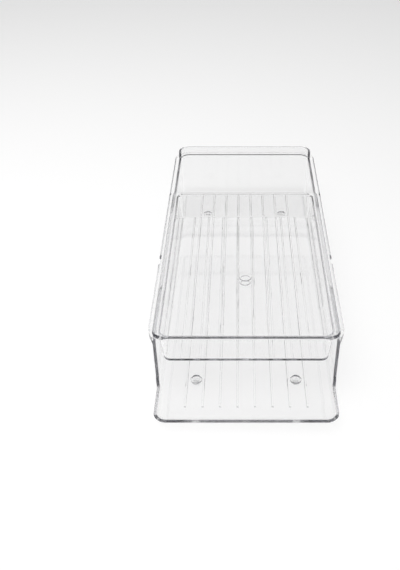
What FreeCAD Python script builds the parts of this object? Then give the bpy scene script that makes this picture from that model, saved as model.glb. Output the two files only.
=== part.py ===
"""Two-tier organizer rack: a clear ribbed bin, a shorter tray that slides on its rails, and four pads."""
import FreeCAD, Part
import math
import os
import Sketcher

doc = FreeCAD.newDocument("organizer_rack")
sheet = doc.addObject("Spreadsheet::Sheet", "sizes")

# Driving sizes in millimetres, or in degrees where the name says angle.
SIZES = [
    # Bin: outline and walls
    ("rail_width", 152.0),
    ("overall_length", 377.0),
    ("rail_height", 49.4),
    ("wall", 2.4),
    ("draft_angle", 1.0),
    ("body_corner", 11.0),
    ("floor_fillet", 7.4),
    # Bin: rails along the top of the walls, and the raised back
    ("rail_overhang", 4.6),
    ("rail_thickness", 2.2),
    ("rail_depth", 5.0),
    ("rail_skirt", 1.6),
    ("rail_round", 2.8),
    ("rail_taper_length", 22.0),
    ("rail_taper_radius", 40.0),
    ("rail_end_solid", 13.0),
    ("back_rise", 8.0),
    ("back_rise_round", 6.0),
    ("back_rise_return", 2.0),
    ("back_rise_edge_round", 0.8),
    # Bin: open front
    ("apron_length", 44.5),
    ("lip_height", 6.0),
    ("lip_round", 0.4),
    ("scoop_radius", 8.0),
    # Bin: floor ribs
    ("rib_count", 8),
    ("rib_pitch", 13.4),
    ("rib_width", 2.0),
    ("rib_height", 0.5),
    ("rib_front_gap", 19.5),
    ("rib_rear_gap", 15.0),
    # Bin: hollow feet and the gate mark
    ("foot_diameter", 9.0),
    ("foot_height", 2.0),
    ("foot_round", 0.5),
    ("dimple_diameter", 6.6),
    ("dimple_depth", 1.2),
    ("dimple_round", 0.4),
    ("foot_spacing", 79.6),
    ("front_foot_inset", 53.2),
    ("rear_foot_inset", 54.8),
    ("gate_diameter", 10.6),
    ("gate_rise", 0.8),
    ("gate_wall", 1.0),
    ("gate_round", 0.5),
    # Bin: slot in each side wall, and the notches in each rail
    ("slot_length", 142.0),
    ("slot_height", 8.0),
    ("slot_corner", 3.6),
    ("slot_drop", 25.2),
    ("slot_rear_inset", 108.7),
    ("notch_depth", 2.0),
    ("mid_notch_length", 14.0),
    ("mid_notch_inset", 221.4),
    ("end_notch_length", 4.0),
    ("end_notch_inset", 101.0),
    # Tray
    ("tray_length", 233.4),
    ("tray_height", 27.0),
    ("tray_wall", 1.8),
    ("tray_draft_angle", 8.0),
    ("tray_side_play", 1.2),
    ("tray_corner", 5.5),
    ("tray_floor_fillet", 1.2),
    ("tray_bottom_round", 1.2),
    ("tray_mouth_round", 0.7),
    # Tray: the rim that rests on the rails
    ("tray_rim_side", 4.3),
    ("tray_rim_end", 0.8),
    ("tray_rim_thickness", 2.6),
    ("tray_rim_front_corner", 10.0),
    ("tray_rim_rear_corner", 4.0),
    ("tray_rim_top_round", 1.9),
    ("tray_rim_underside_round", 0.4),
    ("tray_front_overhang", 2.4),
    ("rail_clearance", 0.2),
    # Tray: floor ribs
    ("tray_rib_pitch", 14.4),
    ("tray_rib_width", 1.8),
    ("tray_rib_height", 0.3),
    # Bumper pads
    ("pad_diameter", 8.0),
    ("pad_height", 2.2),
    ("pad_round", 1.6),
]
for row, (alias, value) in enumerate(SIZES, start=1):
    sheet.set(f"A{row}", alias.replace("_", " "))
    sheet.set(f"B{row}", str(value))
    sheet.setAlias(f"B{row}", alias)
doc.recompute()

# Places worked out from the driving sizes. X is across, Y runs to the back, Z is up from the underside.
LEAN = "tan(sizes.draft_angle)"
WALL_X = "(sizes.rail_width / 2 - sizes.rail_overhang)"
RAIL_REAR = "(sizes.overall_length / 2)"
WALL_REAR = f"({RAIL_REAR} - sizes.rail_overhang)"
LIP_FRONT = "(sizes.overall_length / 2)"
OUTER_FILLET = "(sizes.floor_fillet + sizes.wall)"
LIP_INSET = (f"({LEAN} * (sizes.rail_height - {OUTER_FILLET}) + {OUTER_FILLET} / cos(sizes.draft_angle)"
             f" - sqrt(({OUTER_FILLET} - sizes.lip_round) ^ 2"
             f" - ({OUTER_FILLET} - sizes.lip_height + sizes.lip_round) ^ 2) - sizes.lip_round)")
BODY_DROP = f"({LEAN} * sizes.rail_height)"
INSIDE_CORNER = f"(sizes.body_corner + {BODY_DROP} - sizes.wall)"
SIDE_FRONT = f"(-{LIP_FRONT} + sizes.apron_length)"
BASE_Z = "(sizes.pad_height + sizes.foot_height)"
TRAY_X = f"({WALL_X} - sizes.wall - sizes.tray_side_play)"
TRAY_RIM_Z = "(sizes.tray_height - sizes.tray_rim_thickness)"
OVERCUT = 5.0
SAME_PLACE = 1e-3


def number(expression):
    """The present value of an expression over the sheet's sizes."""
    return float(sheet.evalExpression(expression))


def size(alias):
    return number("sizes." + alias)


def new_body(label):
    body = doc.addObject("PartDesign::Body", label)
    body.Label = label
    return body


def new_sketch(body, name, plane, offset="0"):
    """An empty sketch on one of the body's own planes, raised along the plane's normal."""
    sketch = body.newObject("Sketcher::SketchObject", name)
    origin_plane = next(f for f in body.Origin.OriginFeatures if f.Role == plane)
    sketch.AttachmentSupport = (origin_plane, [""])
    sketch.MapMode = "FlatFace"
    sketch.setExpression(".AttachmentOffset.Base.z", offset)
    return sketch


def place(sketch, geometry, point, x, y):
    """Hold one point of the sketch at expressions x and y from the origin."""
    for kind, expression in (("DistanceX", x), ("DistanceY", y)):
        index = sketch.addConstraint(Sketcher.Constraint(kind, -1, 1, geometry, point, number(expression)))
        sketch.setExpression(f"Constraints[{index}]", expression)


def closed_path(sketch, corners):
    """Straight runs between corners; a corner (x, y, radius) with a radius is rounded.

    Coordinates are expressions. Every line end and every arc is held by the corner it belongs to.
    """
    points = [(number(x), number(y), number(r) if r else 0.0) for x, y, r in corners]
    count = len(points)
    entry, exit_ = [], []
    for i, (x, y, r) in enumerate(points):
        before, after = points[i - 1], points[(i + 1) % count]
        one = FreeCAD.Vector(before[0] - x, before[1] - y, 0).normalize()
        two = FreeCAD.Vector(after[0] - x, after[1] - y, 0).normalize()
        reach = r / math.tan(one.getAngle(two) / 2) if r else 0.0
        here = FreeCAD.Vector(x, y, 0)
        entry.append(here + one * reach)
        exit_.append(here + two * reach)
    lines = []
    for i in range(count):
        line = Part.LineSegment(exit_[i], entry[(i + 1) % count])
        lines.append(sketch.addGeometry(line, False))
    for i, (x, y, radius) in enumerate(corners):
        incoming, outgoing = lines[i - 1], lines[i]
        if not radius:
            sketch.addConstraint(Sketcher.Constraint("Coincident", incoming, 2, outgoing, 1))
            place(sketch, outgoing, 1, x, y)
            continue
        corner = sketch.addGeometry(Part.Point(FreeCAD.Vector(points[i][0], points[i][1], 0)), True)
        sketch.addConstraint(Sketcher.Constraint("PointOnObject", corner, 1, incoming))
        sketch.addConstraint(Sketcher.Constraint("PointOnObject", corner, 1, outgoing))
        place(sketch, corner, 1, x, y)
        arc = sketch.addGeometry(corner_arc(points[i], entry[i], exit_[i]), False)
        turns_left = (points[i][0] - entry[i].x) * (exit_[i].y - points[i][1]) \
            > (points[i][1] - entry[i].y) * (exit_[i].x - points[i][0])
        first, last = (1, 2) if turns_left else (2, 1)
        sketch.addConstraint(Sketcher.Constraint("Tangent", incoming, 2, arc, first))
        sketch.addConstraint(Sketcher.Constraint("Tangent", arc, last, outgoing, 1))
        index = sketch.addConstraint(Sketcher.Constraint("Radius", arc, points[i][2]))
        sketch.setExpression(f"Constraints[{index}]", radius)


def corner_arc(corner, start, end):
    """The arc of the corner's radius, tangent to both runs that meet there."""
    centre_way = (start + end) * 0.5 - FreeCAD.Vector(corner[0], corner[1], 0)
    chord = (end - start).Length
    height = math.sqrt(max(corner[2] ** 2 - chord ** 2 / 4, 0.0))
    centre = (start + end) * 0.5 + centre_way.normalize() * height
    middle = centre - centre_way * corner[2]
    return Part.Arc(start, middle, end)


def circle(sketch, x, y, diameter):
    centre = FreeCAD.Vector(number(x), number(y), 0)
    ring = sketch.addGeometry(Part.Circle(centre, FreeCAD.Vector(0, 0, 1), number(diameter) / 2), False)
    place(sketch, ring, 3, x, y)
    index = sketch.addConstraint(Sketcher.Constraint("Diameter", ring, number(diameter)))
    sketch.setExpression(f"Constraints[{index}]", diameter)


def rounded_box(half_x, front, rear, front_corner, rear_corner):
    return [(f"-{half_x}", front, front_corner), (half_x, front, front_corner),
            (half_x, rear, rear_corner), (f"-{half_x}", rear, rear_corner)]


def horseshoe(outer_x, outer_rear, outer_corner, inner_x, inner_rear, inner_corner, front):
    """A band round the two sides and the back, open at the front."""
    return [(outer_x, front, None), (outer_x, outer_rear, outer_corner),
            (f"-{outer_x}", outer_rear, outer_corner), (f"-{outer_x}", front, None),
            (f"-{inner_x}", front, None), (f"-{inner_x}", inner_rear, inner_corner),
            (inner_x, inner_rear, inner_corner), (inner_x, front, None)]


def pad(body, name, sketch, length, reverse=False, draft=None):
    feature = body.newObject("PartDesign::Pad", name)
    feature.Profile = sketch
    feature.setExpression("Length", length)
    feature.Reversed = reverse
    if draft:
        feature.setExpression("TaperAngle", draft)
    doc.recompute()
    return feature


def pocket(body, name, sketch, length=None, reverse=False, draft=None):
    """A cut, to a length or right through both ways; it has to take something away."""
    before = body.Tip.Shape.Volume
    feature = body.newObject("PartDesign::Pocket", name)
    feature.Profile = sketch
    feature.Reversed = reverse
    if length:
        feature.setExpression("Length", length)
    else:
        feature.Type = "ThroughAll"
        feature.SideType = "Symmetric"
    if draft:
        feature.setExpression("TaperAngle", draft)
    doc.recompute()
    if feature.Shape.Volume >= before:
        raise RuntimeError(f"{name} cuts nothing")
    return feature


def fillet(body, name, radius, chosen):
    """Round those edges of the tip that the test picks."""
    base = body.Tip
    names = [f"Edge{i}" for i, edge in enumerate(base.Shape.Edges, start=1) if chosen(edge)]
    feature = body.newObject("PartDesign::Fillet", name)
    feature.Base = (base, names)
    feature.setExpression("Radius", radius)
    doc.recompute()
    return feature


def lies_at(edge, height):
    return abs(edge.BoundBox.ZMin - height) < SAME_PLACE and abs(edge.BoundBox.ZMax - height) < SAME_PLACE


def is_ring(edge, height, diameter):
    return (lies_at(edge, number(height)) and isinstance(edge.Curve, Part.Circle)
            and abs(edge.Curve.Radius - number(diameter) / 2) < SAME_PLACE)


def both_sides(sketch, corners):
    """The same closed path on the left and on the right."""
    closed_path(sketch, corners)
    closed_path(sketch, [(f"-({x})", y, radius) for x, y, radius in corners])


def hollow(body, name, corners, top, floor, radius, draft):
    """Cut the inside out from the top down to the floor, drafted, and round its bottom edge."""
    mouth = new_sketch(body, name + "_outline", "XY_Plane", top)
    closed_path(mouth, corners)
    pocket(body, name, mouth, f"{top} - {floor}", draft=f"-{draft}")
    fillet(body, name + "_round", radius, lambda edge: lies_at(edge, number(floor)))


def ribs(body, prefix, floor_height, rear, front, pitch, width, height):
    """Low ribs along the floor: one is drawn at the left and repeated across."""
    sketch = new_sketch(body, prefix + "_section", "XZ_Plane", f"-({rear})")
    left = f"(-(sizes.rib_count - 1) / 2 * {pitch})"
    root = f"({floor_height} - {height})"
    crest = f"({floor_height} + {height})"
    closed_path(sketch, [(f"{left} - {width} / 2", root, None), (f"{left} + {width} / 2", root, None),
                         (f"{left} + {width} / 2", floor_height, None),
                         (f"{left} + {width} / 4", crest, None), (f"{left} - {width} / 4", crest, None),
                         (f"{left} - {width} / 2", floor_height, None)])
    first = pad(body, prefix + "_first", sketch, f"{rear} - ({front})")
    pattern = body.newObject("PartDesign::LinearPattern", prefix)
    pattern.Originals = [first]
    pattern.Direction = (next(f for f in body.Origin.OriginFeatures if f.Role == "X_Axis"), [""])
    pattern.setExpression("Length", f"(sizes.rib_count - 1) * {pitch}")
    pattern.setExpression("Occurrences", "sizes.rib_count")
    body.Tip = pattern
    doc.recompute()


def gate_mark(body, prefix, y, floor):
    """A moulded gate mark: a low round boss on the floor, hollow from below."""
    boss = new_sketch(body, prefix + "_boss_outline", "XY_Plane", f"{floor} - sizes.gate_rise")
    circle(boss, "0", y, "sizes.gate_diameter")
    pad(body, prefix + "_boss", boss, "2 * sizes.gate_rise")
    crown = f"{floor} + sizes.gate_rise"
    fillet(body, prefix + "_boss_round", "sizes.gate_round",
           lambda edge: is_ring(edge, crown, "sizes.gate_diameter"))
    well = new_sketch(body, prefix + "_well_outline", "XY_Plane")
    circle(well, "0", y, "sizes.gate_diameter - 2 * sizes.gate_wall")
    pocket(body, prefix + "_well", well, "sizes.gate_rise", reverse=True)


# Bin: a drafted box, hollowed from above and rounded below inside and out.
base_bin = new_body("base_bin")
base_bin.setExpression(".Placement.Base.z", BASE_Z)

outline = new_sketch(base_bin, "bin_outline", "XY_Plane")
closed_path(outline, rounded_box(f"({WALL_X} - {BODY_DROP})",
                                 f"(-{LIP_FRONT} - {LIP_INSET} + {BODY_DROP})",
                                 f"({WALL_REAR} - {BODY_DROP})", "sizes.body_corner", "sizes.body_corner"))
pad(base_bin, "bin_block", outline, "sizes.rail_height", draft="sizes.draft_angle")
hollow(base_bin, "bin_inside",
       rounded_box(f"({WALL_X} - sizes.wall)", f"(sizes.wall - {LIP_FRONT} - {LIP_INSET})",
                   f"({WALL_REAR} - sizes.wall)", INSIDE_CORNER, INSIDE_CORNER),
       "sizes.rail_height", "sizes.wall", "sizes.floor_fillet", "sizes.draft_angle")
fillet(base_bin, "bin_bottom_round", OUTER_FILLET, lambda edge: lies_at(edge, 0))

# Rails: a flange round three sides, rolled over at its outer edge into a skirt.
rail = new_sketch(base_bin, "rail_outline", "XY_Plane", "sizes.rail_height")
closed_path(rail, horseshoe("(sizes.rail_width / 2)", RAIL_REAR, "sizes.body_corner + sizes.rail_overhang",
                            f"({WALL_X} - sizes.wall / 2)", f"({WALL_REAR} - sizes.wall / 2)",
                            "sizes.body_corner - sizes.wall / 2", SIDE_FRONT))
pad(base_bin, "rail_block", rail, "sizes.rail_depth", reverse=True)

channel = new_sketch(base_bin, "rail_channel_outline", "XY_Plane", "sizes.rail_height - sizes.rail_depth")
closed_path(channel, horseshoe("(sizes.rail_width / 2 - sizes.rail_skirt)", f"{RAIL_REAR} - sizes.rail_skirt",
                               "sizes.body_corner + sizes.rail_overhang - sizes.rail_skirt",
                               WALL_X, WALL_REAR, "sizes.body_corner",
                               f"{SIDE_FRONT} + sizes.rail_end_solid"))
pocket(base_bin, "rail_channel", channel, "sizes.rail_depth - sizes.rail_thickness", reverse=True)


def on_rail_rim(edge):
    """Whether an edge runs round the outside of the rails' top, not across their front ends."""
    box = edge.BoundBox
    side = max(abs(box.XMin), abs(box.XMax)) > (size("rail_width") - size("rail_skirt")) / 2
    rear = box.YMax > number(RAIL_REAR) - size("rail_skirt") / 2
    straight = box.XLength < SAME_PLACE or box.YLength < SAME_PLACE
    return lies_at(edge, size("rail_height")) and (side or rear) and (straight or side and rear)


fillet(base_bin, "rail_rim_round", "sizes.rail_round", on_rail_rim)

# Back wall: it stands above the rails, corners included, and its two top ends are rounded off.
RISE_FRONT = f"({WALL_REAR} - sizes.body_corner - sizes.back_rise_return)"
rise = new_sketch(base_bin, "back_rise_outline", "XY_Plane", "sizes.rail_height")
closed_path(rise, horseshoe(WALL_X, WALL_REAR, "sizes.body_corner",
                            f"({WALL_X} - sizes.wall)", f"{WALL_REAR} - sizes.wall",
                            "sizes.body_corner - sizes.wall", RISE_FRONT))
pad(base_bin, "back_rise", rise, "sizes.back_rise")
RISE_TOP = "(sizes.rail_height + sizes.back_rise)"
fillet(base_bin, "back_rise_top_round", "sizes.back_rise_edge_round",
       lambda edge: lies_at(edge, number(RISE_TOP)) and edge.Length > size("wall") + SAME_PLACE)

rise_end = new_sketch(base_bin, "back_rise_end", "YZ_Plane")
BELOW_ROUND = f"{RISE_TOP} - sizes.back_rise_round - {OVERCUT} / 5"
BEHIND_ROUND = f"{RISE_FRONT} + sizes.back_rise_round + {OVERCUT}"
closed_path(rise_end, [(RISE_FRONT, RISE_TOP, "sizes.back_rise_round"),
                       (RISE_FRONT, BELOW_ROUND, None),
                       (f"{RISE_FRONT} - {OVERCUT}", BELOW_ROUND, None),
                       (f"{RISE_FRONT} - {OVERCUT}", f"{RISE_TOP} + {OVERCUT}", None),
                       (BEHIND_ROUND, f"{RISE_TOP} + {OVERCUT}", None),
                       (BEHIND_ROUND, RISE_TOP, None)])
pocket(base_bin, "back_rise_end_cut", rise_end)

# Open front: the walls stop at an upright edge that sweeps down into the low lip.
scoop = new_sketch(base_bin, "front_scoop", "YZ_Plane")
closed_path(scoop, [(SIDE_FRONT, "sizes.lip_height", "sizes.scoop_radius"),
                    (SIDE_FRONT, f"sizes.rail_height + {OVERCUT}", None),
                    (f"-{LIP_FRONT} - {OVERCUT}", f"sizes.rail_height + {OVERCUT}", None),
                    (f"-{LIP_FRONT} - {OVERCUT}", "sizes.lip_height", None)])
pocket(base_bin, "front_scoop_cut", scoop)
fillet(base_bin, "front_edge_round", "sizes.lip_round",
       lambda edge: lies_at(edge, size("lip_height")) and edge.Length > size("wall") + 1
       or edge.BoundBox.YLength < SAME_PLACE and abs(edge.BoundBox.YMax - number(SIDE_FRONT)) < SAME_PLACE
       and edge.BoundBox.ZLength > size("scoop_radius"))

# Rail ends: at the front each rail sweeps in to the wall.
taper = new_sketch(base_bin, "rail_taper", "XY_Plane")
TAPER_END = f"({SIDE_FRONT} + sizes.rail_taper_length)"
BESIDE = f"(sizes.rail_width / 2 + {OVERCUT})"
TAPER_BEND = f"{SIDE_FRONT} + sizes.rail_taper_length / 2"
both_sides(taper, [("sizes.rail_width / 2", TAPER_END, None),
                   ("sizes.rail_width / 2", TAPER_BEND, "sizes.rail_taper_radius"),
                   (WALL_X, SIDE_FRONT, None), (WALL_X, f"{SIDE_FRONT} - {OVERCUT}", None),
                   (BESIDE, f"{SIDE_FRONT} - {OVERCUT}", None), (BESIDE, TAPER_END, None)])
pocket(base_bin, "rail_taper_cut", taper)

# Rail edges: a long notch halfway along and a short one further back.
notches = new_sketch(base_bin, "rail_notches", "XY_Plane")
for which in ("mid", "end"):
    centre = f"({RAIL_REAR} - sizes.{which}_notch_inset)"
    half = f"sizes.{which}_notch_length / 2"
    both_sides(notches, [("(sizes.rail_width / 2 - sizes.notch_depth)", f"{centre} - {half}", None),
                         (BESIDE, f"{centre} - {half}", None), (BESIDE, f"{centre} + {half}", None),
                         ("(sizes.rail_width / 2 - sizes.notch_depth)", f"{centre} + {half}", None)])
pocket(base_bin, "rail_notch_cut", notches)

# Side walls: one long round-ended slot in each.
slots = new_sketch(base_bin, "side_slots", "YZ_Plane")
SLOT_REAR = f"({RAIL_REAR} - sizes.slot_rear_inset)"
SLOT_TOP = "(sizes.rail_height - sizes.slot_drop)"
SLOT_FRONT = f"({SLOT_REAR} - sizes.slot_length)"
SLOT_BOTTOM = f"({SLOT_TOP} - sizes.slot_height)"
closed_path(slots, [(SLOT_FRONT, SLOT_BOTTOM, "sizes.slot_corner"),
                    (SLOT_REAR, SLOT_BOTTOM, "sizes.slot_corner"),
                    (SLOT_REAR, SLOT_TOP, "sizes.slot_corner"),
                    (SLOT_FRONT, SLOT_TOP, "sizes.slot_corner")])
pocket(base_bin, "side_slot_cut", slots)

# Floor: long ribs, four hollow feet whose dimples show from above, and the gate mark.
ribs(base_bin, "floor_ribs", "sizes.wall", f"({RAIL_REAR} - sizes.rib_rear_gap)",
     f"(sizes.rib_front_gap - {LIP_FRONT})", "sizes.rib_pitch", "sizes.rib_width", "sizes.rib_height")

FOOT_X = "(sizes.foot_spacing / 2)"
FEET = {"front": f"(sizes.front_foot_inset - {LIP_FRONT})", "rear": f"({RAIL_REAR} - sizes.rear_foot_inset)"}
feet = new_sketch(base_bin, "feet_outline", "XY_Plane")
dimples = new_sketch(base_bin, "dimples_outline", "XY_Plane", "sizes.wall")
for foot_y in FEET.values():
    for foot_x in (f"-{FOOT_X}", FOOT_X):
        circle(feet, foot_x, foot_y, "sizes.foot_diameter")
        circle(dimples, foot_x, foot_y, "sizes.dimple_diameter")
pad(base_bin, "feet", feet, "sizes.foot_height", reverse=True)
fillet(base_bin, "feet_round", "sizes.foot_round",
       lambda edge: is_ring(edge, "-sizes.foot_height", "sizes.foot_diameter"))
pocket(base_bin, "dimples", dimples, "sizes.dimple_depth")
fillet(base_bin, "dimples_round", "sizes.dimple_round",
       lambda edge: is_ring(edge, "sizes.wall", "sizes.dimple_diameter"))
gate_mark(base_bin, "gate", "-sizes.rail_overhang / 2", "sizes.wall")

# Tray: its own shell, shorter than the bin, with a flat rim that rests on the rails.
sliding_tray = new_body("sliding_tray")
sliding_tray.setExpression(".Placement.Base.y", f"{SIDE_FRONT} - sizes.tray_front_overhang")
sliding_tray.setExpression(".Placement.Base.z",
                           f"{BASE_Z} + sizes.rail_height + sizes.rail_clearance - {TRAY_RIM_Z}")

TRAY_DROP = "(tan(sizes.tray_draft_angle) * sizes.tray_height)"
TRAY_TOP_CORNER = f"(sizes.tray_corner + {TRAY_DROP})"
TRAY_INSIDE_CORNER = f"({TRAY_TOP_CORNER} - sizes.tray_wall)"
TRAY_FOOT = f"(sizes.tray_rim_end + {TRAY_DROP})"
tray_outline = new_sketch(sliding_tray, "tray_outline", "XY_Plane")
closed_path(tray_outline, rounded_box(f"({TRAY_X} - {TRAY_DROP})", TRAY_FOOT,
                                      f"(sizes.tray_length - {TRAY_FOOT})",
                                      "sizes.tray_corner", "sizes.tray_corner"))
pad(sliding_tray, "tray_block", tray_outline, "sizes.tray_height", draft="sizes.tray_draft_angle")
hollow(sliding_tray, "tray_inside",
       rounded_box(f"({TRAY_X} - sizes.tray_wall)", "(sizes.tray_rim_end + sizes.tray_wall)",
                   "(sizes.tray_length - sizes.tray_rim_end - sizes.tray_wall)",
                   TRAY_INSIDE_CORNER, TRAY_INSIDE_CORNER),
       "sizes.tray_height", "sizes.tray_wall", "sizes.tray_floor_fillet", "sizes.tray_draft_angle")
fillet(sliding_tray, "tray_bottom_round", "sizes.tray_bottom_round", lambda edge: lies_at(edge, 0))


def on_rim_outline(edge):
    box = edge.BoundBox
    return (box.YMin < SAME_PLACE or box.YMax > size("tray_length") - SAME_PLACE
            or max(box.XMax, -box.XMin) > number(TRAY_X) + size("tray_rim_side") / 2)


rim = new_sketch(sliding_tray, "tray_rim_outline", "XY_Plane", TRAY_RIM_Z)
closed_path(rim, rounded_box(f"({TRAY_X} + sizes.tray_rim_side)", "0", "sizes.tray_length",
                             "sizes.tray_rim_front_corner", "sizes.tray_rim_rear_corner"))
RIM_ROOT_CORNER = f"({TRAY_TOP_CORNER} - sizes.tray_wall / 2)"
closed_path(rim, rounded_box(f"({TRAY_X} - sizes.tray_wall / 2)",
                             "(sizes.tray_rim_end + sizes.tray_wall / 2)",
                             "(sizes.tray_length - sizes.tray_rim_end - sizes.tray_wall / 2)",
                             RIM_ROOT_CORNER, RIM_ROOT_CORNER))
pad(sliding_tray, "tray_rim", rim, "sizes.tray_rim_thickness")
for level, radius in (("sizes.tray_height", "sizes.tray_rim_top_round"),
                      (TRAY_RIM_Z, "sizes.tray_rim_underside_round")):
    fillet(sliding_tray, "tray_rim_round", radius,
           lambda edge, level=level: lies_at(edge, number(level)) and on_rim_outline(edge))
fillet(sliding_tray, "tray_mouth_round", "sizes.tray_mouth_round",
       lambda edge: lies_at(edge, size("tray_height")) and not on_rim_outline(edge)
       and edge.BoundBox.XMax < number(TRAY_X))
TRAY_RIB_FRONT = f"({TRAY_FOOT} + sizes.tray_wall / 2)"
ribs(sliding_tray, "tray_ribs", "sizes.tray_wall", f"(sizes.tray_length - {TRAY_RIB_FRONT})", TRAY_RIB_FRONT,
     "sizes.tray_rib_pitch", "sizes.tray_rib_width", "sizes.tray_rib_height")
gate_mark(sliding_tray, "tray_gate", "sizes.tray_length / 2", "sizes.tray_wall")

# Bumper pads: domed discs, flat on top against the feet and flat below to stand on.
nodes = [base_bin, sliding_tray]
for end, foot_y in FEET.items():
    for side, foot_x in (("left", f"-{FOOT_X}"), ("right", FOOT_X)):
        bumper = new_body(f"bumper_pad_{end}_{side}")
        bumper.setExpression(".Placement.Base.x", foot_x)
        bumper.setExpression(".Placement.Base.y", foot_y)
        profile = new_sketch(bumper, f"{bumper.Label}_profile", "XZ_Plane")
        closed_path(profile, [("0", "0", None), ("sizes.pad_diameter / 2", "0", "sizes.pad_round"),
                              ("sizes.pad_diameter / 2", "sizes.pad_height", None),
                              ("0", "sizes.pad_height", None)])
        dome = bumper.newObject("PartDesign::Revolution", f"{bumper.Label}_dome")
        dome.Profile = profile
        dome.ReferenceAxis = (profile, ["V_Axis"])
        dome.Angle = 360
        nodes.append(bumper)

doc.recompute()
faults = [item.Label for item in doc.Objects if {"Invalid", "Error"} & set(item.State)]
faults += [node.Label for node in nodes if node.Shape.isNull() or not node.Shape.isValid()]
if faults:
    raise RuntimeError(f"did not build: {faults}")

os.makedirs("parts", exist_ok=True)
for node in nodes:
    node.Shape.exportStep(f"parts/{node.Label}.step")
    print(node.Label, len(node.Shape.Solids), round(node.Shape.Volume), node.Shape.BoundBox)
travel = number(RISE_FRONT) - number(f"{SIDE_FRONT} - sizes.tray_front_overhang + sizes.tray_length")
print("tray travel up to the raised back, mm:", round(travel, 2))
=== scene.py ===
"""Looks for the two-tier organizer rack: clear moulded plastic on a white table."""
import math

import bpy
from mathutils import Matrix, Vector


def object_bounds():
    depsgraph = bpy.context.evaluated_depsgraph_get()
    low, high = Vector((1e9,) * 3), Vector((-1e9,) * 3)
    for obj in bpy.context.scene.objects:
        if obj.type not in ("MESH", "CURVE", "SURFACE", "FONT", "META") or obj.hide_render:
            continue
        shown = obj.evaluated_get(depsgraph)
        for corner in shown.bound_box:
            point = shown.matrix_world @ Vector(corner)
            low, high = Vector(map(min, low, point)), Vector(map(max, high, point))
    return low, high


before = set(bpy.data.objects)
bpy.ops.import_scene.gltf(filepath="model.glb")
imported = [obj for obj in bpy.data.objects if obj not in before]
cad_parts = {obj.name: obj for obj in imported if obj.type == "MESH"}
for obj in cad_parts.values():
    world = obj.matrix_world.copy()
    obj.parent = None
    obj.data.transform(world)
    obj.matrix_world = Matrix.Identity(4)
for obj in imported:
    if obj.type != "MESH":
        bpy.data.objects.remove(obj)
cad_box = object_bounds()

# Studio: the photograph's camera, worked out from the rails, seats and slots.
# It stands in front of the rack at arm's height and looks down into it, a little left of the middle.
PHOTO_WIDTH, PHOTO_HEIGHT = 400, 570
FOCAL_PIXELS = 769.0
SENSOR_WIDTH = 36.0
VANISHING_COLUMN = 240.5
CAMERA_PLACE = Vector((-0.00443, -0.5988, 0.4177))
CAMERA_PITCH = math.radians(34.7)
CAMERA_NEAR = 0.01

camera_data = bpy.data.cameras.new("photo_camera")
camera_data.sensor_width = SENSOR_WIDTH
camera_data.lens = FOCAL_PIXELS * SENSOR_WIDTH / PHOTO_HEIGHT
camera_data.shift_x = (PHOTO_WIDTH / 2 - VANISHING_COLUMN) / PHOTO_HEIGHT
camera_data.clip_start = CAMERA_NEAR
camera = bpy.data.objects.new("photo_camera", camera_data)
camera.location = CAMERA_PLACE
camera.rotation_euler = (math.pi / 2 - CAMERA_PITCH, 0.0, 0.0)
bpy.context.scene.collection.objects.link(camera)
bpy.context.scene.camera = camera
bpy.context.scene.view_settings.view_transform = "Standard"

# Light runs a long way inside the clear walls before it leaves at an edge, so its paths are long.
# No caustics are traced: the plastic lets the lamp's light straight through instead.
BOUNCES_INSIDE = 160
WALLS_PASSED_STRAIGHT = 48

cycles = bpy.context.scene.cycles
cycles.max_bounces = BOUNCES_INSIDE
cycles.transmission_bounces = BOUNCES_INSIDE
cycles.glossy_bounces = BOUNCES_INSIDE
cycles.transparent_max_bounces = WALLS_PASSED_STRAIGHT
cycles.caustics_reflective = False
cycles.caustics_refractive = False

# Table: a wide white sheet that is lit from above and keeps the rack's soft shadow.
# Straight to the camera it glows up to plain white, and through plastic it stays a shade of pale grey.
TABLE_REACH = 12.0
TABLE_WHITE = 0.80
GLOW_TO_CAMERA = 0.30
GLOW_IN_PLASTIC = 0.25


def new_material(name):
    """An empty node material, its node list and a function that joins two sockets."""
    material = bpy.data.materials.new(name)
    material.use_nodes = True
    material.node_tree.nodes.clear()
    return material, material.node_tree.nodes, material.node_tree.links.new


table_material, nodes, join = new_material("white_table")
rays = nodes.new("ShaderNodeLightPath")
bent = nodes.new("ShaderNodeMath")
bent.operation = "MAXIMUM"
join(rays.outputs["Is Glossy Ray"], bent.inputs[0])
join(rays.outputs["Is Transmission Ray"], bent.inputs[1])
bent_glow = nodes.new("ShaderNodeMath")
bent_glow.operation = "MULTIPLY"
bent_glow.inputs[1].default_value = GLOW_IN_PLASTIC
join(bent.outputs[0], bent_glow.inputs[0])
strength = nodes.new("ShaderNodeMath")
strength.operation = "MULTIPLY_ADD"
strength.inputs[1].default_value = GLOW_TO_CAMERA
join(rays.outputs["Is Camera Ray"], strength.inputs[0])
join(bent_glow.outputs[0], strength.inputs[2])
glow = nodes.new("ShaderNodeEmission")
join(strength.outputs[0], glow.inputs["Strength"])
sheet = nodes.new("ShaderNodeBsdfDiffuse")
sheet.inputs["Color"].default_value = (TABLE_WHITE, TABLE_WHITE, TABLE_WHITE, 1.0)
both = nodes.new("ShaderNodeAddShader")
join(glow.outputs[0], both.inputs[0])
join(sheet.outputs[0], both.inputs[1])
table_out = nodes.new("ShaderNodeOutputMaterial")
join(both.outputs[0], table_out.inputs["Surface"])

table_mesh = bpy.data.meshes.new("table")
table_mesh.from_pydata(
    [(x * TABLE_REACH, y * TABLE_REACH, 0.0) for x, y in ((-1, -1), (1, -1), (1, 1), (-1, 1))],
    [], [(0, 1, 2, 3)])
table_mesh.materials.append(table_material)
table = bpy.data.objects.new("table", table_mesh)
table.location.z = cad_box[0].z
bpy.context.scene.collection.objects.link(table)

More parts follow.
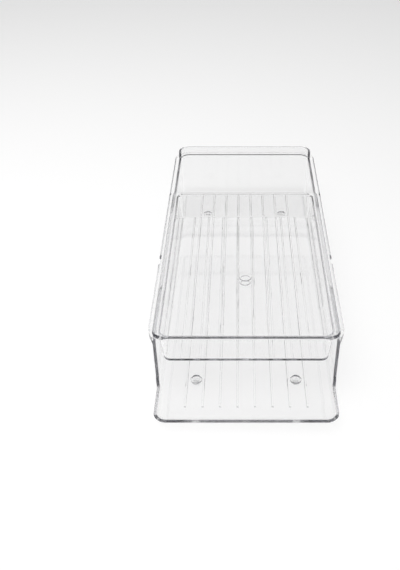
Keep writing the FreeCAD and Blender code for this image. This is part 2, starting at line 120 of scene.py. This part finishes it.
# Room: white as the camera sees it. Rays that plastic bends or mirrors meet a dark horizon under a bright
# ceiling instead, and the horizon is what draws the grey lines along rims, corners and cut edges.
HORIZON = 0.04
CARD = 1.25
CARD_LOW, CARD_FULL = 0.24, 0.40
CARD_NARROW, CARD_WIDE = 0.30, 0.50
CEILING = 0.60
CEILING_LOW, CEILING_FULL = 0.78, 0.92
PLAIN_WHITE = 1.0

world = bpy.data.worlds.new("studio_room")
world.use_nodes = True
bpy.context.scene.world = world
nodes, join = world.node_tree.nodes, world.node_tree.links.new
nodes.clear()
way = nodes.new("ShaderNodeTexCoord")
split = nodes.new("ShaderNodeSeparateXYZ")
join(way.outputs["Generated"], split.inputs[0])


def ramp(source, start, end, to):
    """A smooth rise from 0 at start to a level at end."""
    rise = nodes.new("ShaderNodeMapRange")
    rise.interpolation_type = "SMOOTHSTEP"
    rise.inputs["From Min"].default_value = start
    rise.inputs["From Max"].default_value = end
    rise.inputs["To Max"].default_value = to
    join(source, rise.inputs["Value"])
    return rise.outputs["Result"]


def combine(operation, one, two):
    """One Math node over two sockets, or over a socket and a plain number."""
    math_node = nodes.new("ShaderNodeMath")
    math_node.operation = operation
    for socket, value in zip(math_node.inputs, (one, two)):
        if isinstance(value, float):
            socket.default_value = value
        else:
            join(value, socket)
    return math_node.outputs[0]


above_horizon = ramp(split.outputs["Z"], CARD_LOW, CARD_FULL, CARD)
behind = ramp(split.outputs["Y"], CARD_NARROW, CARD_WIDE, 1.0)
ceiling = ramp(split.outputs["Z"], CEILING_LOW, CEILING_FULL, CEILING)
room_level = combine("MAXIMUM", combine("MULTIPLY", above_horizon, behind), ceiling)
room_level = combine("MAXIMUM", room_level, HORIZON)
room = nodes.new("ShaderNodeBackground")
join(room_level, room.inputs["Strength"])
seen = nodes.new("ShaderNodeBackground")
seen.inputs["Strength"].default_value = PLAIN_WHITE
rays = nodes.new("ShaderNodeLightPath")
pick = nodes.new("ShaderNodeMixShader")
join(rays.outputs["Is Camera Ray"], pick.inputs[0])
join(room.outputs[0], pick.inputs[1])
join(seen.outputs[0], pick.inputs[2])
world_out = nodes.new("ShaderNodeOutputWorld")
join(pick.outputs[0], world_out.inputs["Surface"])

# Softbox: one large soft lamp overhead, a little to the front left. The plastic doesn't mirror it, because
# its hard outline would cut across the flat floors; the ceiling stands in for it there.
SOFTBOX_SIZE = 1.1
SOFTBOX_WATTS = 13.0
SOFTBOX_PLACE = Vector((-0.35, -0.25, 1.3))

softbox_data = bpy.data.lights.new("softbox", "AREA")
softbox_data.size = SOFTBOX_SIZE
softbox_data.energy = SOFTBOX_WATTS
softbox = bpy.data.objects.new("softbox", softbox_data)
softbox.location = SOFTBOX_PLACE
softbox.rotation_euler = (-SOFTBOX_PLACE).to_track_quat("-Z", "Y").to_euler()
softbox.visible_glossy = False
softbox.visible_transmission = False
bpy.context.scene.collection.objects.link(softbox)

# Moulding marks: what every clear piece carries from its mould, faint ripples, and from handling, a haze
# in patches. The group puts out a roughness and a normal, and its lengths are in metres on the piece.
RIPPLE_DETAIL = 1.5
RIPPLE_COARSENESS = 0.4
PATCHES_PER_METRE = 60.0
PATCH_DETAIL = 3.0
PATCH_EDGE, PATCH_FULL = 0.52, 0.72

marks = bpy.data.node_groups.new("moulding_marks", "ShaderNodeTree")
for name in ("Ripple Length", "Ripple Depth", "Polish", "Haze"):
    marks.interface.new_socket(name, in_out="INPUT", socket_type="NodeSocketFloat")
for name, kind in (("Roughness", "NodeSocketFloat"), ("Normal", "NodeSocketVector")):
    marks.interface.new_socket(name, in_out="OUTPUT", socket_type=kind)
nodes, join = marks.nodes, marks.links.new
given = nodes.new("NodeGroupInput")
result = nodes.new("NodeGroupOutput")
where = nodes.new("ShaderNodeTexCoord")
per_metre = nodes.new("ShaderNodeMath")
per_metre.operation = "DIVIDE"
per_metre.inputs[0].default_value = 1.0
join(given.outputs["Ripple Length"], per_metre.inputs[1])
ripple = nodes.new("ShaderNodeTexNoise")
ripple.inputs["Detail"].default_value = RIPPLE_DETAIL
ripple.inputs["Roughness"].default_value = RIPPLE_COARSENESS
join(where.outputs["Object"], ripple.inputs["Vector"])
join(per_metre.outputs[0], ripple.inputs["Scale"])
bump = nodes.new("ShaderNodeBump")
join(given.outputs["Ripple Depth"], bump.inputs["Distance"])
join(ripple.outputs["Fac"], bump.inputs["Height"])
join(bump.outputs["Normal"], result.inputs["Normal"])
smear = nodes.new("ShaderNodeTexNoise")
smear.inputs["Scale"].default_value = PATCHES_PER_METRE
smear.inputs["Detail"].default_value = PATCH_DETAIL
join(where.outputs["Object"], smear.inputs["Vector"])
patch = nodes.new("ShaderNodeMapRange")
patch.inputs["From Min"].default_value = PATCH_EDGE
patch.inputs["From Max"].default_value = PATCH_FULL
join(smear.outputs["Fac"], patch.inputs["Value"])
haze = nodes.new("ShaderNodeMath")
haze.operation = "MULTIPLY_ADD"
join(patch.outputs["Result"], haze.inputs[0])
join(given.outputs["Haze"], haze.inputs[1])
join(given.outputs["Polish"], haze.inputs[2])
join(haze.outputs[0], result.inputs["Roughness"])


# Bin: the lower tier, a long trough with an open front, low lip and raised back. It is one shot of clear
# polystyrene from a single mould, with its rails, floor ribs, side slots and hollow feet moulded in.
PLASTIC_IOR = 1.55
LAMP_SHARE = 0.955
EDGE_COLOUR = (0.50, 0.50, 0.54, 1.0)


def clear_plastic(name, density, ripple_length, ripple_depth, polish, haze_amount):
    """Solid clear plastic that greys the light which runs along inside it, as it does at cut edges.

    Lamps shine straight through the surface, because its caustics aren't traced.
    """
    material, nodes, join = new_material(name)
    mould = nodes.new("ShaderNodeGroup")
    mould.node_tree = marks
    mould.inputs["Ripple Length"].default_value = ripple_length
    mould.inputs["Ripple Depth"].default_value = ripple_depth
    mould.inputs["Polish"].default_value = polish
    mould.inputs["Haze"].default_value = haze_amount
    plastic = nodes.new("ShaderNodeBsdfPrincipled")
    plastic.inputs["Base Color"].default_value = (1.0, 1.0, 1.0, 1.0)
    plastic.inputs["Metallic"].default_value = 0.0
    plastic.inputs["Transmission Weight"].default_value = 1.0
    plastic.inputs["IOR"].default_value = PLASTIC_IOR
    join(mould.outputs["Roughness"], plastic.inputs["Roughness"])
    join(mould.outputs["Normal"], plastic.inputs["Normal"])
    window = nodes.new("ShaderNodeBsdfTransparent")
    window.inputs["Color"].default_value = (LAMP_SHARE, LAMP_SHARE, LAMP_SHARE, 1.0)
    rays = nodes.new("ShaderNodeLightPath")
    surface = plastic.outputs[0]
    for path in ("Is Diffuse Ray", "Is Shadow Ray"):
        mix = nodes.new("ShaderNodeMixShader")
        join(rays.outputs[path], mix.inputs[0])
        join(surface, mix.inputs[1])
        join(window.outputs[0], mix.inputs[2])
        surface = mix.outputs[0]
    inside = nodes.new("ShaderNodeVolumeAbsorption")
    inside.inputs["Color"].default_value = EDGE_COLOUR
    inside.inputs["Density"].default_value = density
    out = nodes.new("ShaderNodeOutputMaterial")
    join(surface, out.inputs["Surface"])
    join(inside.outputs[0], out.inputs["Volume"])
    return material


def finish_node(node, material):
    """Give a piece of the frame its finished material."""
    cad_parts[node].material_slots[0].material = material


BIN_DENSITY = 4.0
BIN_RIPPLE = (0.03, 0.00001)
BIN_POLISH, BIN_HAZE = 0.01, 0.03
finish_node("base_bin", clear_plastic("clear_bin_plastic", BIN_DENSITY, *BIN_RIPPLE, BIN_POLISH, BIN_HAZE))

# Tray: the shorter upper tier, moulded from the same clear polystyrene with thinner walls. Nothing fastens
# it: its rim lies on the bin's rails, and it slides along them by hand. Its rim and corners look darker
# than the bin's edges, so it has the higher density.
TRAY_DENSITY = 9.0
TRAY_RIPPLE = (0.03, 0.00001)
TRAY_POLISH, TRAY_HAZE = 0.01, 0.03
finish_node("sliding_tray",
            clear_plastic("clear_tray_plastic", TRAY_DENSITY, *TRAY_RIPPLE, TRAY_POLISH, TRAY_HAZE))

# Bumper pads: four soft domes of cast clear rubber, whose sticky flat backs hold them under the hollow
# feet. The rubber is a little cloudier than the plastic, so it shows as a pale disc through the floor.
PAD_COLOUR = (0.88, 0.89, 0.90, 1.0)
PAD_CLOUD = 0.08
PAD_ROUGHNESS = 0.3

pad_rubber, nodes, join = new_material("clear_pad_rubber")
rubber = nodes.new("ShaderNodeBsdfPrincipled")
rubber.inputs["Base Color"].default_value = PAD_COLOUR
rubber.inputs["Roughness"].default_value = PAD_ROUGHNESS
rubber.inputs["Alpha"].default_value = PAD_CLOUD
pad_out = nodes.new("ShaderNodeOutputMaterial")
join(rubber.outputs[0], pad_out.inputs["Surface"])
for end in ("front", "rear"):
    for side in ("left", "right"):
        finish_node(f"bumper_pad_{end}_{side}", pad_rubber)
